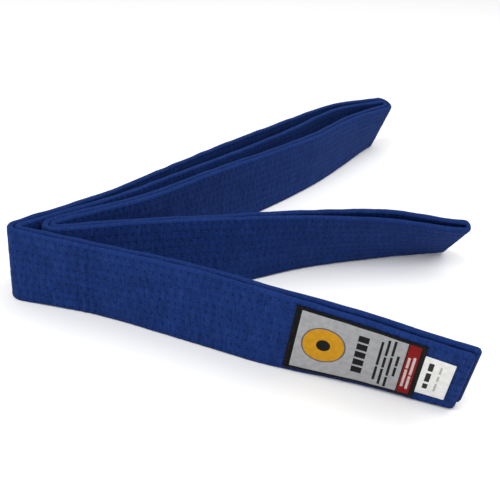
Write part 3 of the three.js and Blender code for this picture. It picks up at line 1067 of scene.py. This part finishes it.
def label_pattern(materials):
    """Silver field, amber disc and plain bars: black, grey, and white on a red band."""
    slots = {colour: index for index, colour in enumerate(LABEL_COLOURS)}
    work = Patchwork("label_pattern", label_waves)
    left_inset, low_inset, high_inset = FIELD_INSETS
    left, right = LABEL_START + BORDER + left_inset, label_end - BORDER
    low, high = LABEL_LOW + low_inset, LABEL_HIGH - high_inset
    band = right - BAND_WIDTH
    field = LABEL_FACE + FIELD_THICKNESS
    under = LABEL_FACE - FIELD_SUNK
    finish = (FIELD_ROUNDING, PLATE_STEP)
    work.plate(left, band, low, high, under, field, slots["silver"], *finish)
    work.plate(band, right, low, high, under, field + BAND_PROUD, slots["red"], *finish)
    middle_a, middle_v = LABEL_START + DISC_MIDDLE[0], DISC_MIDDLE[1]
    for colour, radius, back, front in DISCS:
        levels = (field + back, field + front)
        work.disc(middle_a, middle_v, radius, *levels, slots[colour], DISC_ROUNDING)
    start, end = LABEL_START + BAR_ENDS[0], LABEL_START + BAR_ENDS[1]
    back, front = field - BAR_SUNK, field + BAR_PROUD
    finish = (BAR_ROUNDING, BAR_STEP)
    for index in range(BAR_COUNT):
        side = BAR_LOWEST + BAR_PITCH * index
        work.plate(start, end, side, side + BAR_WIDTH, back, front, slots["black"], *finish)
    for index, (reach, count) in enumerate(TEXT_LINES):
        at = LABEL_START + TEXT_START + TEXT_PITCH * index
        ends = (TEXT_MIDDLE - reach, TEXT_MIDDLE + reach)
        dashes(work, at, LINE_WIDTH, *ends, count, slots["black"], back, TEXT_SEED + index)
    for index, reach in enumerate(BAND_TEXT_REACHES):
        at = band + BAND_TEXT_START + BAND_TEXT_PITCH * index
        ends = (BAND_TEXT_MIDDLE - reach, BAND_TEXT_MIDDLE + reach)
        seed = BAND_TEXT_SEED + index
        dashes(work, at, LINE_WIDTH, *ends, BAND_TEXT_DASHES, slots["white"], field, seed)
    return work.build(materials)


TAG_TUCK = 1.6
TAG_LIFT = 0.08
TAG_FACE = 0.32
TAG_CURL = 0.35
TAG_CURL_TWIST = 0.2
TAG_ROUNDING = 0.25

# Each line of dashes on the tag is (start past the label, width, lowest, highest).
TAG_LINES = [(2.0, 2.9, -9.6, 9.8), (7.0, 1.5, -9.8, 9.0)]
TAG_LINE_DASHES = 3
TAG_LINE_SUNK = 0.05
TAG_SEED = 31


def tag_curl(a, v):
    """The free edge of the tag stands a little off the belt."""
    out = np.clip((a - label_end) / TAG_LENGTH, 0, 1)
    return TAG_CURL * out**2 * (1 + TAG_CURL_TWIST * v / TAG_HIGH)


def size_tag(materials):
    tape = Patchwork("size_tag_tape", tag_curl)
    start, end = label_end - TAG_TUCK, label_end + TAG_LENGTH
    levels = (TAG_LIFT, TAG_FACE)
    tape.plate(start, end, TAG_LOW, TAG_HIGH, *levels, 0, TAG_ROUNDING, PLATE_STEP)
    return tape.build(materials)


def tag_pattern(materials):
    work = Patchwork("size_tag_bars", tag_curl)
    base = TAG_FACE - TAG_LINE_SUNK
    for index, (start, width, low, high) in enumerate(TAG_LINES):
        at = label_end + start
        dashes(work, at, width, low, high, TAG_LINE_DASHES, index, base, TAG_SEED + index)
    return work.build(materials)


LABEL_SEW_INSET = 1.1
LABEL_SEW_BOTTOM = 0.88
LABEL_SEW_TOP = 0.66
LABEL_SEW_LENGTH = 2.6
LABEL_SEW_GAP = 0.004
LABEL_SEW_LIFT = 0.03


def label_sewing(material):
    """Black stitches round the label's border."""
    left, right = LABEL_START + LABEL_SEW_INSET, label_end - LABEL_SEW_INSET
    low, high = LABEL_LOW + LABEL_SEW_BOTTOM, LABEL_HIGH - LABEL_SEW_TOP
    corners = [(left, low), (right, low), (right, high), (left, high)]
    spans = []
    for (a1, v1), (a2, v2) in zip(corners, corners[1:] + corners[:1]):
        count = round(math.hypot(a2 - a1, v2 - v1) / LABEL_SEW_LENGTH)
        steps = np.linspace(0, 1, count + 1)
        for t1, t2 in zip(steps[:-1] + LABEL_SEW_GAP, steps[1:] - LABEL_SEW_GAP):
            heights = v1 + (v2 - v1) * np.array([t1, t2])
            ends = skewed(a1 + (a2 - a1) * np.array([t1, t2]), heights)
            spans.append((*run_at(ends), *heights))

    def floor_at(s, _):
        return 0 * s + LABEL_FACE + LABEL_SEW_LIFT

    return thread_mesh("label_sewing", spans, material, floor_at)


# ---------- the belt, piece by piece ----------

STRANDS = ["front_label", "back_outer", "middle", "back_inner", "front_plain"]


def hold(piece, strand):
    """Attaches a piece of a back strand to the back arm, and bakes the placement of any other piece into
    its mesh.
    """
    if strand.startswith("back"):
        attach(piece, "back_arm")
        return
    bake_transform(piece)


def build_belt():
    cotton = cotton_material()
    thread = thread_material("blue_thread", (0.008, 0.027, 0.125), (0.018, 0.052, 0.21))
    for name, first, last in zip(STRANDS, cuts[:-1], cuts[1:]):
        cloth = cloth_strand(f"{name}_cloth", first, last, cotton)
        sewing = strand_threads(f"{name}_stitches", first, last, thread)
        hold(cloth, name)
        hold(sewing, name)
        node = f"{name}_strand"
        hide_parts(f"{node}_cover", f"{node}_core_ply_outer", f"{node}_core_ply_inner")
    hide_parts("label_end_thread")
    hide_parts("plain_end_thread")


def build_label():
    black = label_material("black_border", (0.0015, 0.0015, 0.002), (0.005, 0.005, 0.0055))
    pattern = label_pattern(
        [
            label_material("silver_field", (0.25, 0.253, 0.262), (0.36, 0.362, 0.375), 0.45),
            label_material("amber_weave", (0.42, 0.19, 0.006), (0.56, 0.28, 0.012)),
            label_material("grey_weave", (0.07, 0.07, 0.08), (0.11, 0.11, 0.12)),
            label_material("black_weave", (0.003, 0.003, 0.004), (0.01, 0.01, 0.011)),
            label_material("red_weave", (0.13, 0.002, 0.004), (0.24, 0.005, 0.007)),
            label_material("white_weave", (0.42, 0.34, 0.33), (0.6, 0.5, 0.48)),
        ]
    )
    base = label_base(black)
    thread = thread_material("black_thread", (0.004, 0.004, 0.005), (0.03, 0.03, 0.034))
    sewing = label_sewing(thread)
    tape = size_tag([label_material("white_tape", (0.62, 0.62, 0.6), (0.78, 0.78, 0.76), 0.6)])
    bars = tag_pattern(
        [
            label_material("dark_print", (0.012, 0.012, 0.013), (0.03, 0.03, 0.032), 0.6),
            label_material("grey_print", (0.3, 0.3, 0.3), (0.42, 0.42, 0.42), 0.6),
        ]
    )
    for piece in (base, pattern, sewing, tape, bars):
        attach(piece, "front_arm")
    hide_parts("woven_label")
    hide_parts("label_thread")
    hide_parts("size_tag")


# ---------- camera, floor and light ----------


def add_camera():
    camera = bpy.data.objects.new("camera", bpy.data.cameras.new("camera"))
    bpy.context.scene.collection.objects.link(camera)
    camera.data.lens = CAMERA_LENS
    camera.data.sensor_width = CAMERA_SENSOR
    camera.data.clip_start = CAMERA_NEAR * MM
    tilt = Matrix.Rotation(math.radians(90 - CAMERA_TILT), 4, "X")
    roll = Matrix.Rotation(math.radians(CAMERA_ROLL), 4, "Z")
    place_at = Vector((*(left_centre + CAMERA_FROM_FOLD), CAMERA_HEIGHT)) * MM
    camera.matrix_world = Matrix.Translation(place_at) @ tilt @ roll
    bpy.context.scene.camera = camera


def add_floor():
    mesh = bpy.data.meshes.new("floor")
    shape = bmesh.new()
    bmesh.ops.create_grid(shape, x_segments=8, y_segments=8, size=6)
    shape.to_mesh(mesh)
    shape.free()
    mesh.materials.append(floor_material())
    floor = bpy.data.objects.new("floor", mesh)
    bpy.context.scene.collection.objects.link(floor)


def add_area_light(name, place_at, size, power):
    """A round soft light that faces the middle of the ground."""
    light = bpy.data.lights.new(name, "AREA")
    light.shape = "DISK"
    light.size = size
    light.energy = power
    lamp = bpy.data.objects.new(name, light)
    bpy.context.scene.collection.objects.link(lamp)
    lamp.location = place_at
    lamp.rotation_euler = (-Vector(place_at)).to_track_quat("-Z", "Y").to_euler()


def add_light():
    world = bpy.data.worlds.new("studio")
    world.use_nodes = True
    background = world.node_tree.nodes["Background"]
    background.inputs["Color"].default_value = (1, 1, 1, 1)
    background.inputs["Strength"].default_value = 0.75
    bpy.context.scene.world = world
    add_area_light("key", place_at=(-0.5, -0.9, 1.3), size=0.9, power=14)
    add_area_light("fill", place_at=(0.9, 0.2, 1.2), size=1.2, power=8)


bpy.context.scene.view_settings.view_transform = "Standard"
add_camera()
add_floor()
add_light()
build_belt()
build_label()
